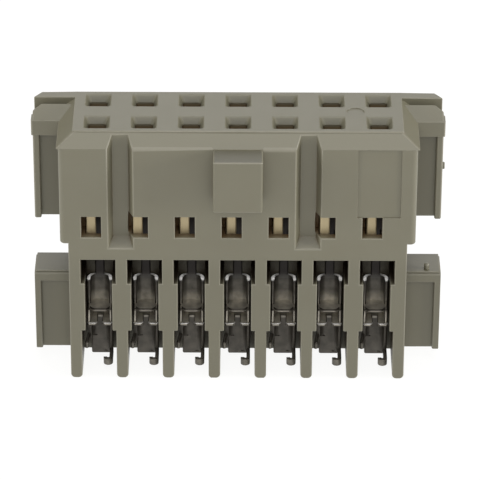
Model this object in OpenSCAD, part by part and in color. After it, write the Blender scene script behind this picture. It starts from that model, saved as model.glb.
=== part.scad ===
// Two-row socket connector for single wires: a moulded housing and pressed contacts.
// X runs along the rows, Y from the front to the back and Z up. The origin is the centre of the
// mating face. A name that ends in _z is a depth below that face.

/* [Contact grid] */
// Number of contacts in each row
columns = 7; // [6:1:10]
// Spacing of the contacts along a row
pitch = 2.54; // [2.5:0.02:2.8]
// Spacing of the two rows
row_pitch = 2.54; // [2.48:0.02:2.7]

/* [Housing body] */
// Height from the fin tips to the mating face
height = 15.1; // [15:0.1:17]
// Depth of the body from front to back
body_d = 6.08; // [5.9:0.02:6.8]
// Land from the last contact's centre to the end of the body
end_land = 2.04; // [1.96:0.02:2.6]
// Depth at which the body narrows to the wire end
shoulder_z = 6.55; // [6.4:0.05:7.2]
// Width of the sloping rim round the mating face
rim_w = 0.74; // [0.4:0.02:0.78]
// Depth at which the sloping rim ends
rim_z = 0.72; // [0.4:0.02:1]
// Distance that the rim stands out past the ends of the body
rim_out = 0.13; // [0.05:0.01:0.2]
// Height of the upright edge above the sloping rim
rim_step = 0.12; // [0.04:0.01:0.2]
// Radius of the body's upright corners
corner_r = 0.3; // [0.1:0.05:0.6]

/* [Sockets] */
// Width of the lead-in at the mating face
mouth_w = 1.36; // [1.2:0.02:1.5]
// Width of the pin hole below the lead-in
pin_hole_w = 0.96; // [0.8:0.02:1.1]
// Depth of the lead-in
lead_in_z = 0.42; // [0.2:0.02:0.6]
// Thickness of the wall that the pin holes pass through
mating_wall = 1; // [0.8:0.05:1.1]
// Clearance between a contact and the walls of its cavity
cavity_gap = 0.04; // [0.02:0.01:0.06]

/* [Inspection windows] */
// Width of a window
window_w = 1.08; // [0.8:0.02:1.2]
// Height of a window
window_h = 1.27; // [0.8:0.02:1.6]
// Depth of a window's top edge
window_z = 4.9; // [4.6:0.05:5.1]
// Distance of a window's centre from its contact's centre
window_shift = 0.33; // [0:0.01:0.4]

/* [Wire bays] */
// Depth of the top of the wire bays
bay_z = 7.58; // [7.4:0.02:8]
// Width of a wire bay between its fins
bay_w = 1.9; // [1.8:0.02:2]
// Width of a bay between its guide blocks
guide_w = 1.48; // [1.46:0.02:1.7]
// Depth of the top of the guide blocks
guide_z = 9.07; // [8.8:0.02:9.6]
// Height of the guide blocks
guide_h = 3; // [2:0.05:3.4]
// Thickness of the wall between the two rows
web_t = 0.9; // [0.7:0.02:1]
// Distance of that wall's lower edge above the fin tips
web_lift = 0.35; // [0.1:0.05:1]
// Radius of the fin tips' edges
fin_tip_r = 0.24; // [0.05:0.01:0.25]

/* [Polarising key] */
// Width of the key
key_w = 2.66; // [2:0.02:3.2]
// Distance that the key stands out from the front face
key_out = 1.39; // [0.8:0.01:1.6]
// Depth of the key's top face
key_z = 0.76; // [0.72:0.02:1.2]
// Height of the key
key_h = 3.08; // [2:0.02:3.2]
// Radius of the key's upright edges
key_r = 0.14; // [0.05:0.01:0.3]

/* [Front grooves] */
// Column after which the left groove lies
groove_left = 1; // [1:1:2]
// Number of columns between the two grooves
groove_columns = 4; // [3:1:4]
// Width of a groove at the front face
groove_mouth_w = 1.36; // [1:0.02:1.5]
// Width of a groove's floor
groove_floor_w = 0.87; // [0.6:0.01:0.9]
// Depth of a groove into the front face
groove_d = 0.67; // [0.4:0.01:0.7]
// Depth at which a groove runs out at the front face
groove_z = 6.86; // [6.6:0.02:7.2]
// Height of the ramp at a groove's lower end
groove_ramp = 0.45; // [0.2:0.01:0.8]

/* [Front panel and mould marks] */
// Width of the bare sunk panel on the front
panel_w = 2.34; // [1:0.02:2.6]
// Height of the sunk panel
panel_h = 4.16; // [2:0.02:4.4]
// Depth of the sunk panel's top edge
panel_z = 0.74; // [0.72:0.02:1.2]
// Distance of the sunk panel from the end of the body
panel_end = 0.86; // [0.6:0.02:1.2]
// Depth that the panel is sunk into the front face
panel_sunk = 0.07; // [0.02:0.01:0.1]
// Diameter of the ejector mark on the mating face
ejector_d = 0.96; // [0.6:0.02:1]
// Depth of the ejector mark
ejector_sunk = 0.05; // [0.02:0.01:0.1]
// Diameter of the gate mark on the right ear
gate_d = 0.4; // [0.2:0.02:0.6]
// Height of the gate mark
gate_out = 0.14; // [0.05:0.01:0.2]
// Depth of the gate mark's centre
gate_z = 3.65; // [2:0.05:5]

/* [Lock ears] */
// Distance that an ear stands out from the end of the body
ear_out = 1.52; // [1.2:0.02:2]
// Distance of an ear's front face behind the middle plane
ear_y = 0.14; // [0:0.02:0.24]
// Thickness of an ear's block from front to back
ear_t = 1.12; // [1:0.02:1.16]
// Depth of an ear's lower end
ear_z = 6.74; // [6:0.02:7]
// Depth of the sloping top's back edge
ear_top_z = 0.2; // [0.1:0.02:0.4]
// Drop of the sloping top from the back to the front
ear_drop = 0.44; // [0.2:0.01:0.6]
// Height of the band below the sloping top
band_h = 0.91; // [0.6:0.01:1.2]
// Distance that the band stands out past the ear
band_out = 0.08; // [0.02:0.01:0.1]
// Width of the lip at an ear's outer edge
ear_lip_w = 0.37; // [0.2:0.01:0.6]
// Depth of the panel behind that lip
ear_sunk = 0.36; // [0.2:0.01:0.5]
// Cut of an ear's outer back corner
ear_cut = 0.42; // [0.2:0.02:0.6]
// Width of the slot behind an ear
ear_slot_w = 0.4; // [0.3:0.02:0.5]
// Thickness of the plate behind that slot
back_plate_t = 0.6; // [0.4:0.02:0.7]

/* [Strain relief wings] */
// Distance that a wing stands out from the wire end
wing_out = 2; // [1.6:0.02:2.6]
// Depth of a wing's top face
wing_z = 9.4; // [9:0.02:10]
// Depth of a wing's lower end
wing_end_z = 14.4; // [13:0.02:14.8]
// Thickness of a wing from front to back
wing_t = 2.1; // [1.4:0.02:2.4]
// Height of the set-back cap on a wing
cap_h = 0.1; // [0.05:0.01:0.2]
// Distance that the cap is set back from the wing's faces
cap_inset = 0.06; // [0.04:0.01:0.1]
// Radius of a wing's upper edges
wing_r = 0.2; // [0.12:0.01:0.4]
// Width of the lips at a wing's outer edge
wing_lip_w = 0.37; // [0.2:0.01:0.6]
// Depth of the panels beside those lips
wing_sunk = 0.26; // [0.1:0.01:0.4]
// Height of the full-thickness band above the panels
wing_band_h = 0.58; // [0.5:0.02:1]
// Diameter of the gate stub on the right wing's top face
stub_d = 0.28; // [0.2:0.02:0.4]
// Height of the gate stub
stub_h = 0.36; // [0.1:0.02:0.6]
// Distance of the gate stub from the wing's outer face
stub_end = 0.78; // [0.5:0.02:1.2]
// Distance of the gate stub from the wing's front face
stub_front = 0.36; // [0.3:0.02:0.6]

/* [Contact socket] */
// Thickness of the contact's sheet
sheet = 0.2; // [0.15:0.01:0.22]
// Width of the socket across its walls
socket_w = 1.24; // [1.2:0.01:1.28]
// Depth of the socket's top end
socket_z = 1.12; // [1.1:0.01:1.4]
// Depth of the socket's lower end
socket_end_z = 7; // [6.6:0.02:7.3]
// Distance of the front flange's face from the contact's seat
socket_d = 2.02; // [1.9:0.01:2.06]
// Depth at which the walls become springs
spring_z = 5; // [4.6:0.05:5.4]
// Width of a spring
spring_w = 1.04; // [0.8:0.02:1.1]
// Depth of the springs' narrowest place
nip_z = 2.6; // [2.2:0.05:3.2]
// Gap between the springs at that place
nip_w = 0.6; // [0.5:0.02:0.7]
// Width of the front flange
flange_w = 0.54; // [0.4:0.01:0.6]
// Depth of the front flange's top edge
flange_z = 4.4; // [4:0.05:4.8]
// Width of the neck between the socket and the channel
neck_w = 0.5; // [0.4:0.02:0.6]

/* [Contact wire end] */
// Width of the wire channel across its walls
channel_w = 1.4; // [1.3:0.01:1.44]
// Distance of the shallow upper walls' front edges from the contact's seat
tub_d = 0.68; // [0.6:0.01:0.9]
// Distance of the deep lower walls' front edges from the contact's seat
channel_d = 1.3; // [1.2:0.01:1.36]
// Depth of the channel's top edge
channel_z = 9.85; // [9.4:0.01:10.2]
// Outside radius of the channel's bends
bend_r = 0.5; // [0.3:0.01:0.6]
// Depth of the cross plate that stops a wire's end
stop_z = 11.44; // [11.2:0.01:11.6]
// Depth of the slotted blade
blade_z = 12.25; // [12:0.01:12.3]
// Distance of the blade's front edge from the contact's seat
blade_d = 1.44; // [1.4:0.01:1.5]
// Width of the slot that grips a wire's core
slot_w = 0.26; // [0.2:0.01:0.3]
// Width of the slot's mouth
slot_mouth_w = 0.44; // [0.4:0.01:0.6]
// Distance of the slot's root from the contact's seat
slot_root = 0.5; // [0.4:0.01:0.8]
// Depth of the contact's lower end
contact_end_z = 14.94; // [14.9:0.01:15]
// Width of the foot plate at the lower end
foot_w = 1.06; // [0.9:0.01:1.1]
// Height of the foot plate below the right wing
foot_h = 0.2; // [0.16:0.01:0.4]
// Distance of the low walls' edges from the contact's seat
curb_d = 0.7; // [0.6:0.01:1]
// Height of a crimp wing
crimp_h = 0.42; // [0.3:0.02:0.8]
// Distance of the left crimp wing's lower edge above the right one's
crimp_step = 1; // [0.9:0.02:1.2]
// Length of the left crimp wing past the low wall
crimp_left = 1.1; // [0.8:0.02:1.2]
// Angle at which the left crimp wing leans out
crimp_lean = 7; // [0:1:8]
// Distance of the right crimp wing's curl from the contact's seat
crimp_right = 1.58; // [1.2:0.02:1.7]
// Outside radius of that curl
curl_r = 0.26; // [0.22:0.01:0.3]

/* [Hidden] */
$fn = 48;
ROWS = ["a", "b"];

housing_colour = "#7b7768";
contact_colour = "#b9b6ad";

// Length by which a cut runs past a face, or a piece into the one that it grows from
over = 0.2;

body_w = (columns - 1) * pitch + 2 * end_land;
fin_t = pitch - bay_w;
wire_end_w = columns * pitch + fin_t;
front_y = -body_d / 2;
seat_y = -web_t / 2;
body_end = body_w / 2;
wire_end = wire_end_w / 2;
ear_end = body_end + ear_out;
wing_end = wire_end + wing_out;
slope_z = ear_top_z + ear_drop;
ear_back_y = ear_y + ear_t;
plate_y = ear_back_y + ear_slot_w;
cavity_w = socket_w + 2 * cavity_gap;
cavity_y = seat_y - socket_d - cavity_gap;
channel_end_z = blade_z + sheet;
right_wing_z = contact_end_z - foot_h;
left_wing_z = right_wing_z - crimp_step;

function column_x(i) = (i - (columns - 1) / 2) * pitch;
function fin_x(i) = (i - columns / 2) * pitch;

// Outline with an upright edge and a slope at both upper corners, and a lip at the slope's foot
function rimmed_outline(half_w, lip) = [
    [-half_w, -shoulder_z],
    [-half_w, -rim_z - lip],
    [-half_w - lip, -rim_z],
    [rim_w - half_w, -rim_step],
    [rim_w - half_w, 0],
    [half_w - rim_w, 0],
    [half_w - rim_w, -rim_step],
    [half_w + lip, -rim_z],
    [half_w, -rim_z - lip],
    [half_w, -shoulder_z]
];

// Box between two opposite corners
module span(low, high) {
    translate(low) cube(high - low);
}

// Stretches an outline drawn in X and Z along Y
module along_y(length) {
    rotate([90, 0, 0]) linear_extrude(length, center = true) children();
}

// Stretches an outline drawn in Y and Z along X, from one place to another
module along_x(from, to) {
    translate([from, 0, 0]) rotate([90, 0, 90]) linear_extrude(to - from) children();
}

// Repeats a shape of the front row in the back row, which faces the other way
module both_rows() {
    children();
    rotate(180) children();
}

module both_ends() {
    children();
    mirror([1, 0, 0]) children();
}

module front_and_back() {
    children();
    mirror([0, 1, 0]) children();
}

module rounded_rect(w, d, r) {
    square([w - 2 * r, d], center = true);
    square([w, d - 2 * r], center = true);
    for (x = [r - w / 2, w / 2 - r], y = [r - d / 2, d / 2 - r]) translate([x, y]) circle(r);
}

// Upright strip with both lower corners rounded, hanging from the bays' top edge to the fin tips
module fin_outline() {
    translate([-fin_t / 2, fin_tip_r - height]) square([fin_t, height - fin_tip_r - bay_z + over]);
    translate([fin_tip_r - fin_t / 2, -height]) square([fin_t - 2 * fin_tip_r, 2 * fin_tip_r]);
    for (side = [-1, 1]) {
        translate([side * (fin_t / 2 - fin_tip_r), fin_tip_r - height]) circle(fin_tip_r);
    }
}

// Block with a sloping rim whose own corners stay sharp above the rounded upright ones
module upper_body() {
    difference() {
        intersection() {
            along_y(body_d) polygon(rimmed_outline(body_end, rim_out));
            along_x(-ear_end, ear_end) polygon(rimmed_outline(body_d / 2, 0));
        }
        both_ends() front_and_back() {
            translate([body_end - corner_r, body_d / 2 - corner_r, -shoulder_z - over]) {
                linear_extrude(shoulder_z - rim_z + over) difference() {
                    square(corner_r + over);
                    circle(corner_r);
                }
            }
        }
    }
}

module guide_block(x) {
    half_t = (pitch - guide_w) / 2;
    low_x = max(x - half_t, -wire_end);
    high_x = min(x + half_t, wire_end);
    span([low_x, front_y, -guide_z - guide_h], [high_x, -front_y, -guide_z]);
}

module wire_end_comb() {
    span([-wire_end, front_y, -bay_z], [wire_end, -front_y, over - shoulder_z]);
    span([-wire_end, seat_y, web_lift - height], [wire_end, -seat_y, over - bay_z]);
    along_y(body_d) for (i = [0:columns]) translate([fin_x(i), 0]) fin_outline();
    for (i = [0:columns]) guide_block(fin_x(i));
}

module key() {
    depth = key_out + over;
    translate([0, front_y + over - depth / 2, -key_z - key_h]) linear_extrude(key_h) {
        rounded_rect(key_w, depth, key_r);
        translate([0, depth / 4]) square([key_w, depth / 2], center = true);
    }
}

// Right-hand ear: a sloping block with a band and a sunk panel, and a plate behind a slot
module ear() {
    root = body_end - rim_w - over;
    band_z = slope_z + band_h;
    difference() {
        union() {
            intersection() {
                along_x(root, ear_end) polygon([
                    [ear_y, -ear_z],
                    [ear_y, -slope_z],
                    [ear_back_y, -ear_top_z],
                    [ear_back_y, -ear_z]
                ]);
                translate([0, 0, -ear_z]) linear_extrude(ear_z) polygon([
                    [root, ear_y],
                    [ear_end, ear_y],
                    [ear_end, ear_back_y - ear_cut],
                    [ear_end - ear_cut, ear_back_y],
                    [root, ear_back_y]
                ]);
            }
            span(
                [root, ear_y - band_out, -band_z],
                [ear_end + band_out, ear_back_y - ear_cut, -slope_z]
            );
        }
        span(
            [body_end, ear_y - over, -ear_z - over],
            [ear_end - ear_lip_w, ear_y + ear_sunk, -band_z]
        );
    }
    translate([0, 0, -ear_z]) linear_extrude(ear_z) polygon([
        [root, plate_y],
        [ear_end, plate_y],
        [ear_end - ear_cut, plate_y + back_plate_t],
        [root, plate_y + back_plate_t]
    ]);
}

// Right-hand wing: a block with rounded upper edges, lips at its outer edge and a set-back cap
module wing() {
    root = wire_end - over;
    half_t = wing_t / 2;
    shoulder = -wing_z - cap_h;
    difference() {
        along_x(root, wing_end) {
            translate([-half_t, -wing_end_z]) square([wing_t, shoulder + wing_end_z - wing_r]);
            translate([wing_r - half_t, shoulder - 2 * wing_r]) {
                square([wing_t - 2 * wing_r, 2 * wing_r]);
            }
            for (side = [-1, 1]) {
                translate([side * (half_t - wing_r), shoulder - wing_r]) circle(wing_r);
            }
        }
        front_and_back() span(
            [wire_end, -half_t - over, -wing_end_z - over],
            [wing_end - wing_lip_w, wing_sunk - half_t, shoulder - wing_band_h]
        );
    }
    span(
        [root, cap_inset - half_t, shoulder],
        [wing_end - cap_inset, half_t - cap_inset, -wing_z]
    );
    span(
        [root, wing_r - half_t, shoulder - over],
        [wing_end - cap_inset, half_t - wing_r, -wing_z]
    );
}

// Square lead-in: two tapering outlines that cross
module lead_in() {
    taper = [
        [-pin_hole_w / 2, -lead_in_z],
        [-mouth_w / 2, 0],
        [-mouth_w / 2, over],
        [mouth_w / 2, over],
        [mouth_w / 2, 0],
        [pin_hole_w / 2, -lead_in_z]
    ];
    intersection() {
        along_y(2 * mouth_w) polygon(taper);
        along_x(-mouth_w, mouth_w) polygon(taper);
    }
}

// Way of one contact of the front row through the housing, from the mating face to its wire bay
module contact_way() {
    half_hole = pin_hole_w / 2;
    half_cavity = cavity_w / 2;
    translate([0, -row_pitch / 2, 0]) {
        lead_in();
        span([-half_hole, -half_hole, -mating_wall - over], [half_hole, half_hole, over - lead_in_z]);
    }
    span([-half_cavity, cavity_y, -bay_z - over], [half_cavity, seat_y, -mating_wall]);
    translate([-window_shift - window_w / 2, front_y - over, -window_z - window_h]) {
        cube([window_w, (seat_y - front_y) / 2 + over, window_h]);
    }
}

// Groove in the front face, with slanting sides and a ramp that runs out at its lower end
module groove(x) {
    floor_y = front_y + groove_d;
    slant = (groove_mouth_w - groove_floor_w) / 2 / groove_d;
    outer_half = groove_floor_w / 2 + slant * (groove_d + over);
    translate([x, 0, 0]) intersection() {
        translate([0, 0, -groove_z - over]) linear_extrude(groove_z + 2 * over) polygon([
            [-outer_half, front_y - over],
            [-groove_floor_w / 2, floor_y],
            [groove_floor_w / 2, floor_y],
            [outer_half, front_y - over]
        ]);
        along_x(-groove_mouth_w, groove_mouth_w) polygon([
            [front_y - over, -groove_z],
            [front_y, -groove_z],
            [floor_y, groove_ramp - groove_z],
            [floor_y, over],
            [front_y - over, over]
        ]);
    }
}

module sunk_panel() {
    high_x = body_end - panel_end;
    span(
        [high_x - panel_w, front_y - over, -panel_z - panel_h],
        [high_x, front_y + panel_sunk, -panel_z]
    );
}

module housing() {
    gap_right_x = column_x(columns - 1) - pitch / 2;
    color(housing_colour) difference() {
        union() {
            upper_body();
            wire_end_comb();
            key();
            both_ends() {
                ear();
                wing();
            }
            translate([ear_end - over, ear_y + ear_t / 2, -gate_z]) rotate([0, 90, 0]) {
                cylinder(gate_out + over, d = gate_d);
            }
            translate([wing_end - stub_end, stub_front - wing_t / 2, -wing_z - over]) {
                cylinder(stub_h + over, d = stub_d);
            }
        }
        both_rows() for (i = [0:columns - 1]) translate([column_x(i), 0, 0]) contact_way();
        groove(column_x(groove_left) - pitch / 2);
        groove(column_x(groove_left + groove_columns) - pitch / 2);
        sunk_panel();
        translate([gap_right_x, 0, -ejector_sunk]) cylinder(ejector_sunk + over, d = ejector_d);
    }
}

// Strip of the contact's plan with both back corners rounded, its back on the seat
module round_back(w, d, r) {
    intersection() {
        translate([-w / 2, -d]) square([w, d]);
        union() {
            translate([-w / 2, -d - r]) square([w, d]);
            translate([r - w / 2, -2 * r]) square([w - 2 * r, 2 * r]);
            for (side = [-1, 1]) translate([side * (w / 2 - r), -r]) circle(r);
        }
    }
}

// Bent sheet, open to the front
module channel_section(d) {
    difference() {
        round_back(channel_w, d, bend_r);
        translate([0, -sheet]) round_back(channel_w - 2 * sheet, d, bend_r - sheet);
    }
}

// Plate across the channel, with rounded front corners that run into its walls
module stop_plan() {
    run_in = sheet / 4;
    intersection() {
        round_back(channel_w, channel_d, bend_r);
        translate([0, -channel_d]) mirror([0, 1]) {
            round_back(channel_w - 2 * (sheet - run_in), channel_d, bend_r - sheet);
        }
    }
}

// Plate as wide as the channel, with a slot that opens to the front
module blade_plan() {
    lead = (slot_mouth_w - slot_w) / 2;
    difference() {
        round_back(channel_w, blade_d, bend_r);
        translate([-slot_w / 2, -blade_d - over]) square([slot_w, blade_d + over - slot_root]);
        polygon([
            [-slot_mouth_w / 2 - over, -blade_d - over],
            [-slot_w / 2, lead - blade_d],
            [slot_w / 2, lead - blade_d],
            [slot_mouth_w / 2 + over, -blade_d - over]
        ]);
    }
}

// Straight wing that leans out to the left and ends round
module left_crimp() {
    translate([sheet / 2 - channel_w / 2, -curb_d + sheet]) rotate(-crimp_lean) {
        translate([-sheet / 2, -crimp_left]) square([sheet, crimp_left]);
        translate([0, -crimp_left]) circle(sheet / 2);
    }
}

// Straight wing that curls in at its front end
module right_crimp() {
    translate([channel_w / 2 - sheet, -crimp_right]) square([sheet, crimp_right - bend_r]);
    translate([channel_w / 2 - curl_r, -crimp_right]) difference() {
        circle(curl_r);
        circle(curl_r - sheet);
        translate([-2 * curl_r, 0]) square([4 * curl_r, 2 * curl_r]);
    }
}

// Left spring: the wall leans in to the nip and out again to its tip
function spring_outline() = let (
    wall = socket_w / 2,
    nip = nip_w / 2
) [
    [-wall, -spring_z - over],
    [-wall, -spring_z],
    [-nip - sheet, -nip_z],
    [-wall, -socket_z],
    [sheet - wall, -socket_z],
    [-nip, -nip_z],
    [sheet - wall, -spring_z],
    [sheet - wall, -spring_z - over]
];

module contact_socket() {
    wall = socket_w / 2;
    spring_y = -row_pitch / 2 - seat_y;
    span([-wall, -sheet, -socket_end_z], [wall, 0, -socket_z]);
    span([wall - sheet, -socket_d + sheet, -socket_end_z], [wall, 0, -spring_z]);
    span([-wall, -socket_d, -socket_end_z], [sheet - wall, 0, -spring_z]);
    span([-wall, -socket_d, -socket_end_z], [flange_w - wall, sheet - socket_d, -flange_z]);
    both_ends() translate([0, spring_y, 0]) along_y(spring_w) polygon(spring_outline());
    span([-neck_w / 2, -sheet, -channel_z - over], [neck_w / 2, 0, over - socket_end_z]);
}

module contact_wire_end() {
    flat = channel_w / 2 - bend_r;
    relief = sheet / 4;
    translate([0, 0, -stop_z - sheet]) {
        linear_extrude(stop_z + sheet - channel_z) channel_section(tub_d);
        linear_extrude(sheet) stop_plan();
    }
    translate([0, 0, -channel_end_z]) {
        linear_extrude(channel_end_z - stop_z) channel_section(channel_d);
        linear_extrude(sheet) blade_plan();
    }
    difference() {
        translate([0, 0, -right_wing_z]) {
            linear_extrude(right_wing_z - channel_end_z + over) channel_section(curb_d);
        }
        span([-channel_w, -channel_d, -contact_end_z], [-flat, over, -left_wing_z]);
    }
    translate([0, -sheet / 2, 0]) along_y(sheet) polygon([
        [-foot_w / 2, -contact_end_z],
        [foot_w / 2, -contact_end_z],
        [foot_w / 2, -right_wing_z - relief],
        [flat, -right_wing_z - relief],
        [flat, -left_wing_z],
        [-flat, -left_wing_z],
        [-flat, -left_wing_z - relief],
        [-foot_w / 2, -left_wing_z - relief]
    ]);
    translate([0, 0, -left_wing_z]) linear_extrude(crimp_h) left_crimp();
    translate([0, 0, -right_wing_z]) linear_extrude(crimp_h) right_crimp();
}

// One contact, with its back on the wall between the rows
module contact() {
    color(contact_colour) translate([0, seat_y, 0]) {
        contact_socket();
        contact_wire_end();
    }
}

housing();
for (row = [0, 1], i = [0:columns - 1]) {
    union() {
        rotate(180 * row) translate([(1 - 2 * row) * column_x(i), 0, 0]) contact();
    }
}
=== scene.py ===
"""Dresses a rectangular socket connector: a moulded housing, plated contacts and a light tent."""

import logging
import math
from dataclasses import dataclass, replace
from enum import Enum, IntEnum
from functools import partial

import bmesh
import bpy
from mathutils import Matrix, Vector
from mathutils.bvhtree import BVHTree


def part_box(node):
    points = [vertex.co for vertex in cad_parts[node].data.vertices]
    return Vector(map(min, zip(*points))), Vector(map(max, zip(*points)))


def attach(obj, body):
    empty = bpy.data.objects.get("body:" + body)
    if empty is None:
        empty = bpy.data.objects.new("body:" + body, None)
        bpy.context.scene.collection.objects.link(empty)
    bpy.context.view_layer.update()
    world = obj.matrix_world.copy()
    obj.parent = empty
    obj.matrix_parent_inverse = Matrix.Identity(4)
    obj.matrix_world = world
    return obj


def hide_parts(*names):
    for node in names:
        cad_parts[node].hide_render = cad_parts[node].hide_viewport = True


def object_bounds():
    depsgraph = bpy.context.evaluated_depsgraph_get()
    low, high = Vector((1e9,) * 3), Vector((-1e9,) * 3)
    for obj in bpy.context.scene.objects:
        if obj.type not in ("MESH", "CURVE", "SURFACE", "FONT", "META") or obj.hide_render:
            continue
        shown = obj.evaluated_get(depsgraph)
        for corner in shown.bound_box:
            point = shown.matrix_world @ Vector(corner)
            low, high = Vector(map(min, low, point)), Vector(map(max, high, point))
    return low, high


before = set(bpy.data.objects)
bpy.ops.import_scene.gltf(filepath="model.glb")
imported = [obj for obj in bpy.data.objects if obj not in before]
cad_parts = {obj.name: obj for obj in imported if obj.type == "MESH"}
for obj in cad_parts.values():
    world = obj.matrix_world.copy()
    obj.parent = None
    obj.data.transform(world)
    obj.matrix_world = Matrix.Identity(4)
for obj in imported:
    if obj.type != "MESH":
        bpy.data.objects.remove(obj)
CAD_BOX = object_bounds()

LOG = logging.getLogger("connector")
Socket = bpy.types.NodeSocket
MM = 0.001
BODY = "root"
# The grid of the contacts, in millimetres, and how many a row has
PITCH = 2.54
COLUMNS = 7
# Points nearer than this, in millimetres, are one, and faces that turn by fewer degrees are one plane
SAME_PLACE = 0.0005
SAME_PLANE = 0.5
# Where along an edge a face's width is taken, and the least width that counts, in millimetres
WIDTH_PLACES = (0.1, 0.3, 0.5, 0.7, 0.9)
LEAST_WIDTH = 0.001
# The face attribute that is one on rounded edges
ROUNDED_EDGE = "worn"
# The colour inputs of a Mix node, whose names its other inputs share
MIX_A, MIX_B = 6, 7
# The nodes that the finishes use most, each a kind with its settings
MIX = ("ShaderNodeMix", {"data_type": "RGBA"})
TINT = ("ShaderNodeMix", {"data_type": "RGBA", "blend_type": "MULTIPLY"})
RANGE = ("ShaderNodeMapRange", {})
EASED = ("ShaderNodeMapRange", {"interpolation_type": "SMOOTHSTEP"})
TIMES = ("ShaderNodeMath", {"operation": "MULTIPLY"})
OVER = ("ShaderNodeMath", {"operation": "GREATER_THAN"})
UNDER = ("ShaderNodeMath", {"operation": "LESS_THAN"})
NEAR = ("ShaderNodeMath", {"operation": "COMPARE"})
MOST = ("ShaderNodeMath", {"operation": "MAXIMUM"})
SIZE = ("ShaderNodeMath", {"operation": "ABSOLUTE"})
# How many rays a shaded point sends out to see how much open sky is above it
SKY_SAMPLES = 8


class Row(Enum):
    """The two rows of contacts, by the half turn that brings a front contact there."""

    FRONT = 0.0
    BACK = math.pi


class Axis(IntEnum):
    """The axes of the frame: along the rows, from front to back, and up."""

    X = 0
    Y = 1
    Z = 2


def linear(hex_colour: str) -> tuple[float, float, float, float]:
    """Turn an sRGB hex colour into Blender's linear colour.

    Args:
        hex_colour: Six hex digits after a hash sign.

    Returns:
        Red, green, blue and an alpha of one.
    """
    parts = [int(hex_colour[i:i + 2], 16) / 255 for i in (1, 3, 5)]
    bent = [c / 12.92 if c <= 0.04045 else ((c + 0.055) / 1.055) ** 2.4 for c in parts]
    return (bent[0], bent[1], bent[2], 1.0)


def per_mm(size: float) -> float:
    """Give the texture scale whose features are this many millimetres across."""
    return 1.0 / (size * MM)


def add_node(tree: bpy.types.NodeTree, kind: str, settings: dict | None = None,
             values: dict | None = None, output: str | None = None) -> Socket | None:
    """Add a node, set its properties, and fill or link its inputs.

    Args:
        tree: The node tree that takes the node.
        kind: The node's type name.
        settings: Properties of the node itself.
        values: Inputs by name or index: an output socket is linked, anything else is set.
        output: The name of the output that is used, where it isn't the first that is switched on.

    Returns:
        That output of the new node, or nothing where it has none.
    """
    node = tree.nodes.new(kind)
    for name, value in (settings or {}).items():
        setattr(node, name, value)
    for key, value in (values or {}).items():
        if isinstance(value, Socket):
            tree.links.new(value, node.inputs[key])
        else:
            node.inputs[key].default_value = value
    if output:
        return node.outputs[output]
    return next((socket for socket in node.outputs if socket.enabled), None)


def new_material(name: str) -> tuple[bpy.types.Material, bpy.types.Node]:
    """Make an empty node material.

    Args:
        name: The material's name.

    Returns:
        The material and its Principled shader, already linked to the output.
    """
    material = bpy.data.materials.new(name)
    material.use_nodes = True
    material.node_tree.nodes.clear()
    surface = add_node(material.node_tree, "ShaderNodeBsdfPrincipled")
    add_node(material.node_tree, "ShaderNodeOutputMaterial", values={"Surface": surface})
    return material, surface.node


@dataclass(frozen=True)
class ShadedPoint:
    """The point that a material is worked out for, as outputs of nodes in the material's tree."""

    tree: bpy.types.NodeTree
    place: Socket
    x: Socket
    y: Socket
    z: Socket
    depth: Socket
    up: Socket
    worn: Socket

    @classmethod
    def on(cls, tree: bpy.types.NodeTree) -> "ShadedPoint":
        """Add the nodes that find the point.

        Args:
            tree: The material's node tree.

        Returns:
            The point's object coordinates, whole and apart, its distance from the middle wall, the
            upward share of its normal, and the mark of rounded edges.
        """
        add = partial(add_node, tree)
        place = add("ShaderNodeTexCoord", output="Object")
        axes = add("ShaderNodeSeparateXYZ", values={0: place}).node.outputs
        depth = add(*SIZE, {0: axes["Y"]})
        normal = add("ShaderNodeNewGeometry", output="Normal")
        up = add("ShaderNodeSeparateXYZ", values={0: normal}, output="Z")
        worn = add("ShaderNodeAttribute", {"attribute_name": ROUNDED_EDGE}, output="Fac")
        return cls(tree, place, axes["X"], axes["Y"], axes["Z"], depth, up, worn)

    def rise(self, value: Socket, start: float, end: float) -> Socket:
        """Rise from zero to one while a value, in metres, goes from start to end, in millimetres."""
        return add_node(self.tree, *RANGE, {"Value": value, "From Min": start * MM, "From Max": end * MM})


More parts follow.
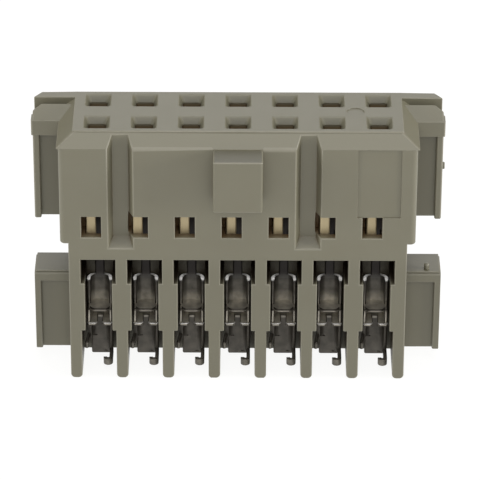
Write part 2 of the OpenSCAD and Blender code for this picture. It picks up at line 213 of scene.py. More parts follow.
@dataclass(frozen=True)
class MouldedPolyester:
    """Glass-filled polyester from a steel mould, with lengths and places in millimetres."""

    # A satin olive grey with a faint flow mottle; rounded edges are paler, partly as wear and partly as
    # a painted highlight, and deep pockets take a painted shade close to brown
    colour: str = "#625e4c"
    pale_colour: str = "#666353"
    wear_and_highlight_colour: str = "#7e7a6c"
    painted_pocket_shade: str = "#2b211a"
    painted_window_shade: str = "#6b553b"
    ior: float = 1.57
    roughness: float = 0.42
    roughness_spread: float = 0.08
    sheen: float = 0.5
    wear_and_highlight: float = 0.45
    # The mottle of the glass filler, as the melt flowed
    mottle: float = 1.6
    mottle_detail: float = 4.0
    mottle_roughness: float = 0.55
    # A spark-eroded mould leaves a grain of about 0.03 mm, drawn coarser here so that it shows
    grain: float = 0.09
    grain_detail: float = 2.0
    grain_height: float = 0.004
    grain_strength: float = 0.6
    # Painted shade in the pockets: the share of open sky at which it is full or gone, and the top and ends,
    # which have none
    pocket_reach: float = 3.5
    pocket_closed: float = 0.12
    pocket_open: float = 0.55
    pocket_top_z: float = -0.35
    pocket_full_z: float = -0.7
    pocket_end_x: float = 9.0
    window_end_z: float = -7.0
    # Painted shade in the corners of the front and on the key's top, and the wire end painted darker
    # towards the bottom
    crevice_reach: float = 1.2
    crevice_closed: float = 0.4
    crevice_open: float = 0.95
    crevice_shade: float = 0.94
    crevice_top_z: float = -0.74
    crevice_end_x: float = 9.6
    ledge_shade: float = 0.68
    ledge_depth: float = 3.1
    ledge_steep: float = 0.7
    ledge_flat: float = 0.95
    wire_end_shade: float = 0.91
    wire_end_top_z: float = -7.2
    wire_end_full_z: float = -8.4

    def tint(self, at: ShadedPoint, flow: Socket) -> Socket:
        """Mix the mottled colour, and pale it on rounded edges, partly as wear and partly as a painted
        highlight.

        Args:
            at: The shaded point.
            flow: The flow mottle, from zero to one.

        Returns:
            The colour in the open.
        """
        add = partial(add_node, at.tree)
        mottled = add(*MIX, {"Factor": flow, MIX_A: linear(self.colour), MIX_B: linear(self.pale_colour)})
        # Rounded edges turn paler: partly wear, partly a painted highlight
        wear_and_highlight = add(*RANGE, {"Value": at.worn, "To Max": self.wear_and_highlight})
        return add(*MIX, {"Factor": wear_and_highlight, MIX_A: mottled, MIX_B: linear(self.wear_and_highlight_colour)})

    def painted_pocket_tint(self, at: ShadedPoint) -> Socket:
        """Choose the painted shade deep in a pocket: warm behind the windows, dark in the wire bays.

        Args:
            at: The shaded point.

        Returns:
            The colour.
        """
        add = partial(add_node, at.tree)
        above = add(*OVER, {0: at.z, 1: self.window_end_z * MM})
        return add(*MIX, {
            "Factor": above, MIX_A: linear(self.painted_pocket_shade), MIX_B: linear(self.painted_window_shade)})

    def light(self, at: ShadedPoint) -> Socket:
        """Find where the pockets take painted shade.

        Args:
            at: The shaded point.

        Returns:
            One in the open, zero deep in a pocket, where the painted shade is full.
        """
        add = partial(add_node, at.tree)
        sky = add("ShaderNodeAmbientOcclusion", {"samples": SKY_SAMPLES, "only_local": True}, {
            "Distance": self.pocket_reach * MM}, "AO")
        pocket = add(*EASED, {"Value": sky, "From Min": self.pocket_closed, "From Max": self.pocket_open})
        upper = at.rise(at.z, self.pocket_full_z, self.pocket_top_z)
        aside = add(*SIZE, {0: at.x})
        ends = add(*OVER, {0: aside, 1: self.pocket_end_x * MM})
        shown = add(*MOST, {0: upper, 1: ends})
        return add(*MOST, {0: pocket, 1: shown})

    def painted_shade(self, at: ShadedPoint) -> Socket:
        """Find the painted shade in corners and on the key's top, and on the wire end, which is painted
        darker.

        Args:
            at: The shaded point.

        Returns:
            The share of light that the painted shade leaves.
        """
        add = partial(add_node, at.tree)
        nook = add("ShaderNodeAmbientOcclusion", {"samples": SKY_SAMPLES, "only_local": True}, {
            "Distance": self.crevice_reach * MM}, "AO")
        crevice = add(*RANGE, {
            "Value": nook, "From Min": self.crevice_closed, "From Max": self.crevice_open,
            "To Min": self.crevice_shade})
        ledge = add(*OVER, {0: at.depth, 1: self.ledge_depth * MM})
        level = add(*EASED, {"Value": at.up, "From Min": self.ledge_steep, "From Max": self.ledge_flat})
        key_top = add(*TIMES, {0: ledge, 1: level})
        ledge_shaded = add(*RANGE, {"Value": key_top, "To Min": crevice, "To Max": self.ledge_shade})
        low = add(*UNDER, {0: at.z, 1: self.crevice_top_z * MM})
        inner = add(*NEAR, {0: at.x, 1: 0.0, 2: self.crevice_end_x * MM})
        kept = add(*TIMES, {0: low, 1: inner})
        corner_shade = add(*RANGE, {"Value": kept, "To Min": 1.0, "To Max": ledge_shaded})
        wire_end_shaded = add(*RANGE, {
            "Value": at.z, "From Min": self.wire_end_full_z * MM, "From Max": self.wire_end_top_z * MM,
            "To Min": self.wire_end_shade})
        return add(*TIMES, {0: corner_shade, 1: wire_end_shaded})

    def build(self) -> bpy.types.Material:
        """Build the material on object coordinates.

        Returns:
            The finished material.
        """
        material, shader = new_material("moulded_polyester")
        at = ShadedPoint.on(material.node_tree)
        add = partial(add_node, at.tree)
        flow = add("ShaderNodeTexNoise", values={
            "Vector": at.place, "Scale": per_mm(self.mottle), "Detail": self.mottle_detail,
            "Roughness": self.mottle_roughness})
        # Painted shade deep in the pockets, in place of the shade that falls there
        lit = self.light(at)
        shaded = add(*MIX, {"Factor": lit, MIX_A: self.painted_pocket_tint(at), MIX_B: self.tint(at, flow)})
        # Painted shade in the corners, on the key's top and towards the bottom of the wire end
        shade_painted = add(*TINT, {"Factor": 1.0, MIX_A: shaded, MIX_B: self.painted_shade(at)})
        gloss = add(*RANGE, {
            "Value": flow, "To Min": self.roughness - self.roughness_spread,
            "To Max": self.roughness + self.roughness_spread})
        # The specular level fades with the painted pocket shade
        sheen = add(*RANGE, {"Value": lit, "To Max": self.sheen})
        grain = add("ShaderNodeTexNoise", values={
            "Vector": at.place, "Scale": per_mm(self.grain), "Detail": self.grain_detail})
        bump = add("ShaderNodeBump", values={
            "Height": grain, "Distance": self.grain_height * MM, "Strength": self.grain_strength})
        at.tree.links.new(shade_painted, shader.inputs["Base Color"])
        at.tree.links.new(gloss, shader.inputs["Roughness"])
        at.tree.links.new(sheen, shader.inputs["Specular IOR Level"])
        at.tree.links.new(bump, shader.inputs["Normal"])
        shader.inputs["IOR"].default_value = self.ior
        return material


@dataclass(frozen=True)
class PlatedBronze:
    """Pressed phosphor bronze, gold on the socket and tin on the wire end; lengths in millimetres."""

    # Dull grey tin with stains and dark sheared edges, a painted highlight on a few edges, painted shade on
    # the neck and deep inside, the tub and the slot painted lighter against their shade, and a warm gold
    # that shows through the windows; a film hides much of the metal, so it is half metallic
    tin: str = "#5a564e"
    tub_painted_light: str = "#aca699"
    foot_tin: str = "#4e4a43"
    wing_tin: str = "#6a665d"
    painted_slot_light: str = "#8a857a"
    painted_highlight_tin: str = "#fbf9f4"
    sheared: str = "#4a453d"
    neck: str = "#1f1a17"
    gold: str = "#b3a482"
    painted_pocket_shade: str = "#2c2013"
    metallic: float = 0.45
    highlight_metallic: float = 0.1
    roughness: float = 0.42
    roughness_spread: float = 0.08
    highlight_roughness: float = 0.28
    # Stains of tarnish, and the slow waves of rolled sheet
    blotch: float = 0.45
    blotch_detail: float = 3.0
    blotch_low: float = 0.3
    blotch_high: float = 0.7
    blotch_depth: float = 0.3
    wave: float = 0.7
    wave_detail: float = 2.0
    wave_height: float = 0.012
    wave_strength: float = 0.7
    # Where the gold ends, on a slant that keeps it off the deeper faces, and the neck below it, painted
    # dark as shade
    gold_edge_z: float = -5.87
    gold_slant: float = 0.275
    neck_end_z: float = -10.0
    neck_blend: float = 0.35
    blend: float = 0.1
    # Places on the wire end: the tub under the stop, painted lighter against its shade, the foot, the
    # wings, and the slot in the blade, whose walls are painted lighter against their shade
    tub_top_z: float = -10.75
    tub_low_z: float = -11.35
    foot_top_z: float = -12.3
    foot_full_z: float = -12.6
    wing_depth: float = 1.2
    wing_full_depth: float = 1.6
    slot_half: float = 0.2
    slot_depth: float = 1.2
    slot_z: float = -12.2
    slot_reach: float = 0.32
    # Painted highlights: the arch, less so at its crown, and the front of the blade
    arch_z: float = -9.92
    crown: float = 0.25
    shoulder: float = 0.55
    crown_share: float = 0.3
    blade_z: float = -12.28
    blade_depth: float = 1.7
    blade_share: float = 0.6
    highlight_reach: float = 0.12
    highlight_steep: float = 0.1
    highlight_level: float = 0.6
    coining: float = 1.3
    # Painted shade on what lies deep in the housing, except for the flanges
    pocket_reach: float = 3.0
    pocket_closed: float = 0.01
    pocket_open: float = 0.1
    flange_depth: float = 1.8

    def aside(self, at: ShadedPoint) -> Socket:
        """Measure how far a point lies beside its contact's middle plane.

        Args:
            at: The shaded point.

        Returns:
            The distance in metres.
        """
        add = partial(add_node, at.tree)
        along = add("ShaderNodeMath", {"operation": "WRAP"}, {
            0: at.x, 1: PITCH / 2 * MM, 2: -PITCH / 2 * MM})
        return add(*SIZE, {0: along})

    def rolled_tin(self, at: ShadedPoint) -> Socket:
        """Choose the tin of the channel, the tub, the foot and the wings by place; the tub is painted
        lighter against its shade.

        Args:
            at: The shaded point.

        Returns:
            The colour.
        """
        add = partial(add_node, at.tree)
        # The tub's lighter tin is painted light, against the shade it lies in
        tub = at.rise(at.z, self.tub_top_z, self.tub_low_z)
        upper = add(*MIX, {"Factor": tub, MIX_A: linear(self.tin), MIX_B: linear(self.tub_painted_light)})
        inner = at.rise(at.depth, self.wing_full_depth, self.wing_depth)
        below = add(*MIX, {"Factor": inner, MIX_A: linear(self.wing_tin), MIX_B: linear(self.foot_tin)})
        low = at.rise(at.z, self.foot_top_z, self.foot_full_z)
        return add(*MIX, {"Factor": low, MIX_A: upper, MIX_B: below})

    def slot(self, at: ShadedPoint, aside: Socket) -> Socket:
        """Find the walls of the slot in the blade, which are painted lighter against their shade.

        Args:
            at: The shaded point.
            aside: Its distance from the contact's middle plane.

        Returns:
            One in the slot, zero elsewhere.
        """
        add = partial(add_node, at.tree)
        middle = add(*UNDER, {0: aside, 1: self.slot_half * MM})
        inner = add(*UNDER, {0: at.depth, 1: self.slot_depth * MM})
        level = add(*NEAR, {0: at.z, 1: self.slot_z * MM, 2: self.slot_reach * MM})
        channel = add(*TIMES, {0: middle, 1: inner})
        return add(*TIMES, {0: channel, 1: level})

    def tinned(self, at: ShadedPoint, aside: Socket) -> Socket:
        """Colour the wire end: stained tin, a slot painted lighter against its shade, and sheared edges.

        Args:
            at: The shaded point.
            aside: Its distance from the contact's middle plane.

        Returns:
            The colour.
        """
        add = partial(add_node, at.tree)
        # The slot's lighter tin is painted light, against the shade in the slot
        slot_lifted = add(*MIX, {
            "Factor": self.slot(at, aside), MIX_A: self.rolled_tin(at), MIX_B: linear(self.painted_slot_light)})
        cloud = add("ShaderNodeTexNoise", values={
            "Vector": at.place, "Scale": per_mm(self.blotch), "Detail": self.blotch_detail})
        stain = add(*RANGE, {
            "Value": cloud, "From Min": self.blotch_low, "From Max": self.blotch_high,
            "To Min": 1.0 - self.blotch_depth, "To Max": 1.0 + self.blotch_depth})
        stained = add(*TINT, {"Factor": 1.0, MIX_A: slot_lifted, MIX_B: stain})
        return add(*MIX, {"Factor": at.worn, MIX_A: stained, MIX_B: linear(self.sheared)})

    def light(self, at: ShadedPoint) -> Socket:
        """Find where painted shade darkens what lies deep in the housing, apart from the wire end and the
        flanges.

        Args:
            at: The shaded point.

        Returns:
            One in the open, zero deep in the housing, where the painted shade is full.
        """
        add = partial(add_node, at.tree)
        sky = add("ShaderNodeAmbientOcclusion", {"samples": SKY_SAMPLES}, {
            "Distance": self.pocket_reach * MM}, "AO")
        pocket = add(*EASED, {"Value": sky, "From Min": self.pocket_closed, "From Max": self.pocket_open})
        wire_end = at.rise(at.z, self.arch_z + self.blend, self.arch_z - self.blend)
        flange = add(*OVER, {0: at.depth, 1: self.flange_depth * MM})
        shown = add(*MOST, {0: wire_end, 1: flange})
        return add(*MOST, {0: pocket, 1: shown})

    def plating(self, at: ShadedPoint, aside: Socket) -> Socket:
        """Put tin on the wire end, painted shade on the neck and gold on the socket, and paint the shade
        deep in the housing.

        Args:
            at: The shaded point.
            aside: Its distance from the contact's middle plane.

        Returns:
            The colour.
        """
        add = partial(add_node, at.tree)
        # The neck's near-black colour is painted shade
        neck = at.rise(at.z, self.neck_end_z - self.neck_blend, self.neck_end_z + self.neck_blend)
        neck_shaded = add(*MIX, {"Factor": neck, MIX_A: self.tinned(at, aside), MIX_B: linear(self.neck)})
        bath = add("ShaderNodeMath", {"operation": "MULTIPLY_ADD"}, {
            0: at.depth, 1: self.gold_slant, 2: at.z})
        split = at.rise(bath, self.gold_edge_z - self.blend, self.gold_edge_z + self.blend)
        plated = add(*MIX, {"Factor": split, MIX_A: neck_shaded, MIX_B: linear(self.gold)})
        # Painted shade deep in the housing
        return add(*MIX, {"Factor": self.light(at), MIX_A: linear(self.painted_pocket_shade), MIX_B: plated})

    def find_painted_highlight(self, at: ShadedPoint, aside: Socket, arch: Socket) -> Socket:
        """Find the upper edges of the arch and the blade's front, which take a painted highlight.

        Args:
            at: The shaded point.
            aside: Its distance from the contact's middle plane.
            arch: Where the arch is.

        Returns:
            One on a painted highlight, zero elsewhere.
        """
        add = partial(add_node, at.tree)
        shoulder = add(*RANGE, {
            "Value": aside, "From Min": self.crown * MM, "From Max": self.shoulder * MM,
            "To Min": self.crown_share})
        crown = add(*TIMES, {0: arch, 1: shoulder})
        blade = add(*NEAR, {0: at.z, 1: self.blade_z * MM, 2: self.highlight_reach * MM})
        front = add(*OVER, {0: at.depth, 1: self.blade_depth * MM})
        lip = add(*TIMES, {0: blade, 1: front})
        wear_and_highlight = add(*TIMES, {0: at.worn, 1: self.blade_share})
        highlight_share = add("ShaderNodeMath", {"operation": "MULTIPLY_ADD", "use_clamp": True}, {
            0: lip, 1: wear_and_highlight, 2: crown})
        upward = add(*EASED, {"Value": at.up, "From Min": self.highlight_steep, "From Max": self.highlight_level})
        return add(*TIMES, {0: highlight_share, 1: upward})

    def coined_normal(self, at: ShadedPoint, bright: Socket, normal: Socket) -> Socket:
        """Lean the normal where the highlight is painted towards the wire side, as a coined edge leans.

        Args:
            at: The shaded point.
            bright: Where the highlight is painted.
            normal: The normal that leans.

        Returns:
            The leaning normal.
        """
        add = partial(add_node, at.tree)
        side = add("ShaderNodeMath", {"operation": "SIGN"}, {0: at.y})
        outward = add("ShaderNodeCombineXYZ", values={"Y": side})
        amount = add(*TIMES, {0: bright, 1: self.coining})
        lean = add("ShaderNodeVectorMath", {"operation": "SCALE"}, {0: outward, "Scale": amount})
        leaning = add("ShaderNodeVectorMath", {"operation": "ADD"}, {0: normal, 1: lean})
        return add("ShaderNodeVectorMath", {"operation": "NORMALIZE"}, {0: leaning})

    def build(self) -> bpy.types.Material:
        """Build the material, with the plating split by place on object coordinates.

        Returns:
            The finished material.
        """
        material, shader = new_material("plated_phosphor_bronze")
        at = ShadedPoint.on(material.node_tree)
        add = partial(add_node, at.tree)
        aside = self.aside(at)
        # The band at the arch, made less metallic so that the highlight painted on it shows; where that
        # highlight is painted, the normal leans as a coined edge does
        arch = add(*NEAR, {0: at.z, 1: self.arch_z * MM, 2: self.highlight_reach * MM})
        # The painted highlight on the arch and the blade's front
        bright = self.find_painted_highlight(at, aside, arch)
        colour = add(*MIX, {
            "Factor": bright, MIX_A: self.plating(at, aside), MIX_B: linear(self.painted_highlight_tin)})
        wave = add("ShaderNodeTexNoise", values={
            "Vector": at.place, "Scale": per_mm(self.wave), "Detail": self.wave_detail})
        bump = add("ShaderNodeBump", values={
            "Height": wave, "Distance": self.wave_height * MM, "Strength": self.wave_strength})
        dull_gloss = add(*RANGE, {
            "Value": wave, "To Min": self.roughness - self.roughness_spread,
            "To Max": self.roughness + self.roughness_spread})
        gloss = add(*RANGE, {"Value": bright, "To Min": dull_gloss, "To Max": self.highlight_roughness})
        metal = add(*RANGE, {"Value": arch, "To Min": self.metallic, "To Max": self.highlight_metallic})
        arch_highlight = add(*TIMES, {0: arch, 1: bright})
        normal = self.coined_normal(at, arch_highlight, bump)
        at.tree.links.new(colour, shader.inputs["Base Color"])
        at.tree.links.new(gloss, shader.inputs["Roughness"])
        at.tree.links.new(metal, shader.inputs["Metallic"])
        at.tree.links.new(normal, shader.inputs["Normal"])
        return material


@dataclass(frozen=True)
class OpalSheet:
    """Opal acrylic of a light table, lit from below."""

    # Matt and white all over, so that it takes hardly any shadow and shows no edge
    colour: str = "#505050"
    glow_colour: str = "#fdfdfc"
    roughness: float = 0.9
    glow: float = 0.93

    def build(self) -> bpy.types.Material:
        """Build the material.

        Returns:
            The finished material.
        """
        material, shader = new_material("opal_acrylic_sheet")
        shader.inputs["Base Color"].default_value = linear(self.colour)
        shader.inputs["Roughness"].default_value = self.roughness
        shader.inputs["Emission Color"].default_value = linear(self.glow_colour)
        shader.inputs["Emission Strength"].default_value = self.glow
        return material


def welded_copy(node: str) -> bmesh.types.BMesh:
    """Copy a CAD node's mesh, weld its loose triangles and join those that lie in one plane.

    Args:
        node: The CAD node's name.

    Returns:
        A bmesh in metres, which the caller frees.
    """
    mesh = bmesh.new()
    mesh.from_mesh(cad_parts[node].data)
    bmesh.ops.remove_doubles(mesh, verts=mesh.verts, dist=SAME_PLACE * MM)
    bmesh.ops.dissolve_limit(mesh, angle_limit=math.radians(SAME_PLANE), verts=mesh.verts, edges=mesh.edges)
    return mesh


def object_from(mesh: bmesh.types.BMesh, name: str) -> bpy.types.Object:
    """Turn a bmesh into an object at the origin and free the bmesh.

    Args:
        mesh: The finished bmesh.
        name: The name of the object and its mesh.

    Returns:
        The new object, linked to the scene.
    """
    data = bpy.data.meshes.new(name)
    mesh.to_mesh(data)
    mesh.free()
    data.materials.clear()
    piece = bpy.data.objects.new(name, data)
    bpy.context.scene.collection.objects.link(piece)
    return piece


def apply_modifiers(piece: bpy.types.Object) -> None:
    """Replace a piece's mesh by its evaluated one and remove its modifiers.

    Args:
        piece: The piece.
    """
    bpy.context.view_layer.update()
    evaluated = piece.evaluated_get(bpy.context.evaluated_depsgraph_get())
    plain = bpy.data.meshes.new_from_object(evaluated)
    piece.modifiers.clear()
    piece.data = plain


def face_width(face: bmesh.types.BMFace, edge: bmesh.types.BMEdge) -> float:
    """Measure how wide a flat face is, square to one of its edges.

    Args:
        face: A face.
        edge: One of its edges.

    Returns:
        The least distance across the face, taken at a few places along the edge.
    """
    side = next(loop for loop in face.loops if loop.edge == edge)
    start, end = side.vert.co, side.link_loop_next.vert.co
    along = (end - start).normalized()
    inward = face.normal.cross(along)
    sides = [(v.dot(along), v.dot(inward), w.dot(along), w.dot(inward))
             for v, w in ((other.verts[0].co - start, other.verts[1].co - start)
                          for other in face.edges if not set(other.verts) & set(edge.verts))]
    width = math.inf
    for place in WIDTH_PLACES:
        here = place * (end - start).length
        for x0, y0, x1, y1 in sides:
            if (x0 > here) != (x1 > here):
                across = y0 + (y1 - y0) * (here - x0) / (x1 - x0)
                if LEAST_WIDTH * MM < across < width:
                    width = across
    return width


@dataclass(frozen=True)
class FaceCut:
    """A plane square to one axis that parts the faces which face along another, in millimetres."""

    axis: Axis
    place: float
    facing: Axis
    least_facing: float = 0.6

    def apply(self, mesh: bmesh.types.BMesh, marks: bmesh.types.BMLayerItem) -> None:
        """Part the faces and mark the new edges.

        Args:
            mesh: The welded mesh.
            marks: The edge layer that takes the marks.
        """
        faces = [f for f in mesh.faces if abs(f.normal[self.facing]) > self.least_facing]
        edges = sorted({edge for face in faces for edge in face.edges}, key=lambda e: e.index)
        corners = sorted({corner for face in faces for corner in face.verts}, key=lambda v: v.index)
        place, normal = Vector(), Vector()
        place[self.axis], normal[self.axis] = self.place * MM, 1.0
        found = bmesh.ops.bisect_plane(mesh, geom=faces + edges + corners, dist=SAME_PLACE * MM,
                                       plane_co=place, plane_no=normal)
        for piece in found["geom_cut"]:
            if isinstance(piece, bmesh.types.BMEdge):
                piece[marks] = 1
        for kind in (mesh.verts, mesh.edges, mesh.faces):
            kind.index_update()
        mesh.normal_update()


@dataclass(frozen=True)
class EdgeZone:
    """A box, in millimetres, whose edges get a radius of their own, up to a share of their room."""

    low: tuple[float, float, float]
    high: tuple[float, float, float]
    radius: float
    hollow: bool = False
    share: float = 0.36

    def encloses(self, point: Vector) -> bool:
        """Tell whether a point, in metres, lies in the box."""
        return all(self.low[axis] <= point[axis] / MM <= self.high[axis] for axis in Axis)

    def holds(self, edge: bmesh.types.BMEdge) -> bool:
        """Tell whether both ends of an edge lie in the box."""
        return all(self.encloses(end.co) for end in edge.verts)

    def at_both_ends(self) -> tuple["EdgeZone", "EdgeZone"]:
        """Give the zone's mirror image at the connector's left end, and the zone itself."""
        low, high = (-self.high[0], *self.low[1:]), (-self.low[0], *self.high[1:])
        return replace(self, low=low, high=high), self


@dataclass(frozen=True)
class EdgeRounder:
    """Rounds the edges of a welded mesh the way a mould or a press tool leaves them.

    Lengths are in millimetres and angles in degrees. An edge runs on into the next one where their
    directions' product is over same_way, and over straight it is the same line.
    """

    radius: float
    segments: int
    sharp_angle: float
    zones: tuple[EdgeZone, ...] = ()
    least: float = 0.015
    share: float = 0.36
    long_run: float = 1.0
    same_way: float = 0.85
    straight: float = 0.9999
    proud: float = 0.002
    touching: float = 0.00001

    def is_sharp(self, edge: bmesh.types.BMEdge) -> bool:
        """Tell whether the faces at an edge meet at a corner and not in a smooth curve."""
        return abs(edge.calc_face_angle_signed()) >= math.radians(self.sharp_angle)

    def fitting(self, edge: bmesh.types.BMEdge) -> float:
        """Choose the radius of one edge, and limit it to the room at that edge.

        Args:
            edge: The edge.

        Returns:
            The radius in millimetres, zero for an edge that stays sharp.
        """
        hollow = edge.calc_face_angle_signed() < 0
        radius, share = 0.0 if hollow else self.radius, self.share
        for zone in self.zones:
            if zone.hollow == hollow and zone.holds(edge):
                radius, share = zone.radius, zone.share
                break
        if radius == 0.0:
            return 0.0
        room = min([face_width(face, edge) for face in edge.link_faces] + [self.run_length(edge)])
        return min(radius, room * share / MM)

    def run_length(self, edge: bmesh.types.BMEdge) -> float:
        """Measure how far an edge runs on, round gentle bends, before it ends or turns sharply.

        Args:
            edge: The edge.

        Returns:
            The length of the run in metres, counted no further than the longest run that matters.
        """
        length = edge.calc_length()
        for end in edge.verts:
            last, corner = edge, end
            while length < self.long_run * MM:
                along = (corner.co - last.other_vert(corner).co).normalized()
                ahead = [e for e in corner.link_edges if e != last and self.is_sharp(e)
                         and (e.other_vert(corner).co - corner.co).normalized().dot(along) > self.same_way]
                if not ahead:
                    break
                last, corner = ahead[0], ahead[0].other_vert(corner)
                length += last.calc_length()
        return length

    def even_out(self, radii: dict[bmesh.types.BMEdge, float]) -> None:
        """Give the edges of each curve one radius, because offsets that differ on a curve make spikes.

        Args:
            radii: The radius of each sharp edge, which is lowered where its neighbour's is less.
        """
        pairs = []
        for edge in radii:
            for end in edge.verts:
                along = (end.co - edge.other_vert(end).co).normalized()
                for other in end.link_edges:
                    if other != edge and other in radii:
                        turn = (other.other_vert(end).co - end.co).normalized().dot(along)
                        if self.same_way < turn < self.straight:
                            pairs.append((edge, other))
        changed = True
        while changed:
            changed = False
            for edge, other in pairs:
                least = min(radii[edge], radii[other])
                changed = changed or radii[edge] != radii[other]
                radii[edge] = radii[other] = least

    def weigh(self, mesh: bmesh.types.BMesh) -> float:
        """Write each edge's share of the greatest radius into the mesh.

        Args:
            mesh: The welded mesh.

        Returns:
            The greatest radius in millimetres.
        """
        weight = mesh.edges.layers.float.new("bevel_weight_edge")
        greatest = max([self.radius] + [zone.radius for zone in self.zones])
        radii = {edge: self.fitting(edge) for edge in mesh.edges if self.is_sharp(edge)}
        self.even_out(radii)
        for edge, radius in radii.items():
            if radius >= self.least:
                edge[weight] = radius / greatest
        return greatest

    def pull_in(self, piece: bpy.types.Object, solid: BVHTree) -> None:
        """Put corner points that stand proud of the sharp solid back on it, except in filled hollows.

        Args:
            piece: The rounded piece.
            solid: The faces of the sharp solid.
        """
        hollows = [zone for zone in self.zones if zone.hollow]
        for corner in piece.data.vertices:
            if any(zone.encloses(corner.co) for zone in hollows):
                continue
            nearest, _, _, gap = solid.find_nearest(corner.co)
            meeting = solid.find_nearest_range(corner.co, gap + self.touching * MM)
            if any((corner.co - nearest).dot(normal) > self.proud * MM for _, normal, _, _ in meeting):
                corner.co = nearest

    def round(self, mesh: bmesh.types.BMesh, name: str) -> bpy.types.Object:
        """Turn a welded mesh into an object with rounded edges, and mark the new faces with a face
        attribute.

        Args:
            mesh: The welded mesh, which is freed.
            name: The object's name.

        Returns:
            The object, a plain mesh with the face attribute that marks rounded edges.
        """
        greatest = self.weigh(mesh)
        solid = BVHTree.FromBMesh(mesh)
        piece = object_from(mesh, name)
        # The bevel gives its faces the second of two empty material slots, which tells them apart
        piece.data.materials.append(None)
        piece.data.materials.append(None)
        bevel = piece.modifiers.new("edge_radius", "BEVEL")
        bevel.limit_method = "WEIGHT"
        bevel.width = greatest * MM
        bevel.segments = self.segments
        bevel.use_clamp_overlap = False
        bevel.loop_slide = False
        bevel.material = 1
        apply_modifiers(piece)
        self.pull_in(piece, solid)
        worn = piece.data.attributes.new(ROUNDED_EDGE, "FLOAT", "FACE")
        for face in piece.data.polygons:
            worn.data[face.index].value = float(face.material_index)
            face.material_index = 0
        piece.data.materials.clear()
        return piece


@dataclass(frozen=True)
class NormalEvener:
    """Shades flat faces flat and lets roundings run from one flat face to the next.

    Facets of a curve are faces of like area that meet at a gentle bend, in degrees. A rounding takes in
    the normals around it whose product with its own is over rounding_reach.
    """

    gentle_bend: float = 25.0
    like_area: float = 4.0
    flat_weight: float = 1000.0
    facet_weight: float = 30.0
    rounding_weight: float = 1.0
    rounding_reach: float = 0.6

    def weigh(self, mesh: bpy.types.Mesh, normals: list[Vector], rounded: list[bool]) -> list[float]:
        """Weigh each face's normal: a flat face most, a facet of a curve less, a rounding least.

        Args:
            mesh: The mesh.
            normals: Each face's normal.
            rounded: Whether each face is part of a rounded edge.

        Returns:
            Each face's weight.
        """
        sharing: dict[tuple[int, int], list[int]] = {}
        for face in mesh.polygons:
            for key in face.edge_keys:
                sharing.setdefault(key, []).append(face.index)
        weights = [self.rounding_weight if mark else self.flat_weight for mark in rounded]
        least, most = math.radians(SAME_PLANE), math.radians(self.gentle_bend)
        for faces in sharing.values():
            bend = normals[faces[0]].angle(normals[faces[-1]], 0.0)
            if least < bend < most and not any(rounded[face] for face in faces):
                areas = [mesh.polygons[face].area for face in faces]
                for face, area in zip(faces, areas):
                    if area < self.like_area * min(areas):
                        weights[face] = self.facet_weight
        return weights

    def apply(self, piece: bpy.types.Object) -> None:
        """Give a piece its own normals.

        Args:
            piece: A plain mesh with the face attribute that marks rounded edges.
        """
        mesh = piece.data
        rounded = [mark.value > 0.0 for mark in mesh.attributes[ROUNDED_EDGE].data]
        normals = [face.normal.copy() for face in mesh.polygons]
        weights = self.weigh(mesh, normals, rounded)
        around: list[list[int]] = [[] for _ in mesh.vertices]
        for face in mesh.polygons:
            face.use_smooth = True
            for corner in face.vertices:
                around[corner].append(face.index)
        facet_reach = math.cos(math.radians(self.gentle_bend))
        split = []
        for face in mesh.polygons:
            own = normals[face.index]
            reach = self.rounding_reach if rounded[face.index] else facet_reach
            for corner in face.vertices:
                if weights[face.index] == self.flat_weight:
                    split.append(own)
                    continue
                total = Vector()
                for other in around[corner]:
                    if normals[other].dot(own) > reach:
                        total += normals[other] * weights[other]
                split.append(total.normalized())
        mesh.normals_split_custom_set(split)


